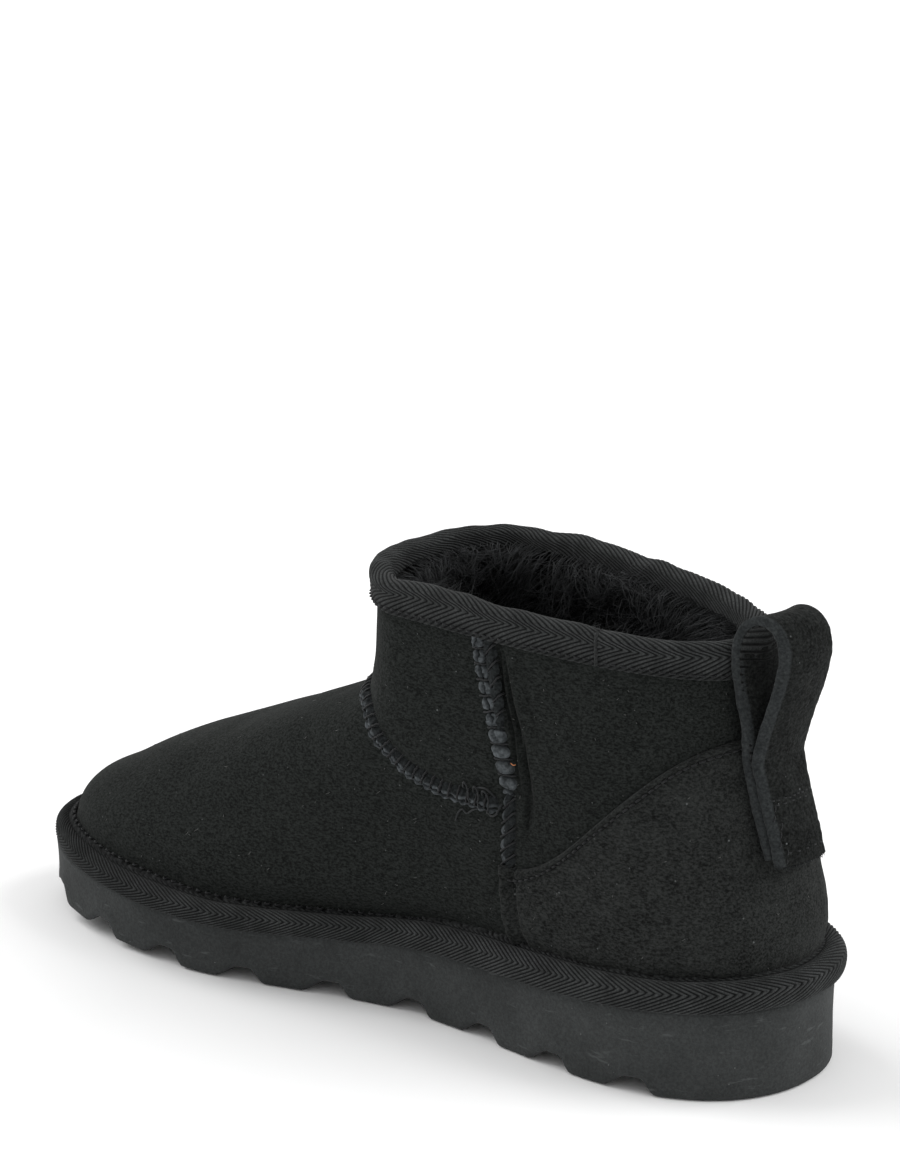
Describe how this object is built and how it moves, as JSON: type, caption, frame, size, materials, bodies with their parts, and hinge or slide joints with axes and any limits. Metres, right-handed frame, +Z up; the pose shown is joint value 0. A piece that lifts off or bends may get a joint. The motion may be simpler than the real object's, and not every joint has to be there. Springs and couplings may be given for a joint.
{
  "type": "sheepskin ankle boot",
  "caption": "Low sheepskin ankle boot for the right foot: fur-lined hollow upper, taped collar and welt, heel counter, folded pull loop and wave-tread foam sole.",
  "frame": {"origin": "centre of the bounding box at floor level, under the middle of the sole", "axes": "+X from heel to toe, +Y to the wearer's left (the inner side of this right boot), +Z up from the floor"},
  "size_m": [0.273, 0.1048, 0.1378],
  "materials": {
    "suede": "matte short-napped sheepskin suede, near black",
    "rough_suede": "matte rougher suede, near black, with pale specks",
    "tape": "woven herringbone tape, near black",
    "foam": "matte moulded foam, dark charcoal",
    "fur": "dense clipped sheep's wool, black"
  },
  "bodies": {
    "root": {"outsole": "foam", "insole": "fur", "upper": "suede", "welt": "tape", "heel_counter": "rough_suede", "collar_binding": "tape", "pull_tab": "rough_suede"}
  },
  "joints": []
}
